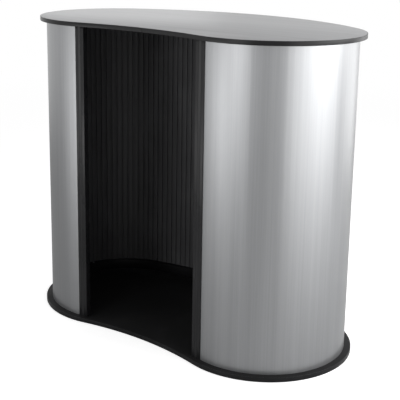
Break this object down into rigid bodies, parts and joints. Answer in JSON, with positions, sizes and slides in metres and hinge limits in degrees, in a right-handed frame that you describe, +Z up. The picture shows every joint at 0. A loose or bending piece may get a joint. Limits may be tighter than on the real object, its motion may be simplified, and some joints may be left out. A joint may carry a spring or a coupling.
{
  "type": "retail counter",
  "caption": "Kidney-shaped promotion counter with an open staff side, a slatted tambour wrap and a lift-off worktop.",
  "frame": {"origin": "on the floor, under the middle of the counter's overall box", "axes": "+Z up, +X along the counter's length, the open staff side faces -Y"},
  "size_m": [1.163, 0.6521, 1],
  "materials": {
    "brushed_laminate": "brushed metallic laminate",
    "black_laminate": "satin black laminate",
    "edge_band": "black plastic edge band",
    "core_board": "raw fibreboard",
    "tambour_board": "black lacquered slats",
    "tambour_facing": "silver brushed metal foil",
    "guide_rail": "black lacquered board",
    "post": "black coated extrusion",
    "steel": "zinc plated steel",
    "pad": "matt rubber"
  },
  "bodies": {
    "base": {"base_backer": "black_laminate", "base_core": "core_board", "base_edge_band": "edge_band", "base_guide_rail": "guide_rail", "base_laminate": "black_laminate", "base_pad_1": "pad", "base_pad_2": "pad", "base_pad_3": "pad", "base_pad_4": "pad", "base_pad_5": "pad", "base_pad_6": "pad", "base_rail_screw_1": "steel", "base_rail_screw_2": "steel", "base_rail_screw_3": "steel", "base_rail_screw_4": "steel", "base_rail_screw_5": "steel", "base_rail_screw_6": "steel", "left_foot_bolt": "steel", "left_locating_pin": "steel", "left_post": "post", "right_foot_bolt": "steel", "right_locating_pin": "steel", "right_post": "post", "tambour_board": "tambour_board", "tambour_facing": "tambour_facing"},
    "worktop": {"worktop_backer": "black_laminate", "worktop_core": "core_board", "worktop_edge_band": "edge_band", "worktop_guide_rail": "guide_rail", "worktop_laminate": "brushed_laminate", "worktop_rail_screw_1": "steel", "worktop_rail_screw_2": "steel", "worktop_rail_screw_3": "steel", "worktop_rail_screw_4": "steel", "worktop_rail_screw_5": "steel", "worktop_rail_screw_6": "steel"}
  },
  "joints": [
    {"name": "worktop_lift", "type": "slide", "parent": "base", "child": "worktop", "axis": [0, 0, 1], "range_m": [0, 0.06]}
  ]
}
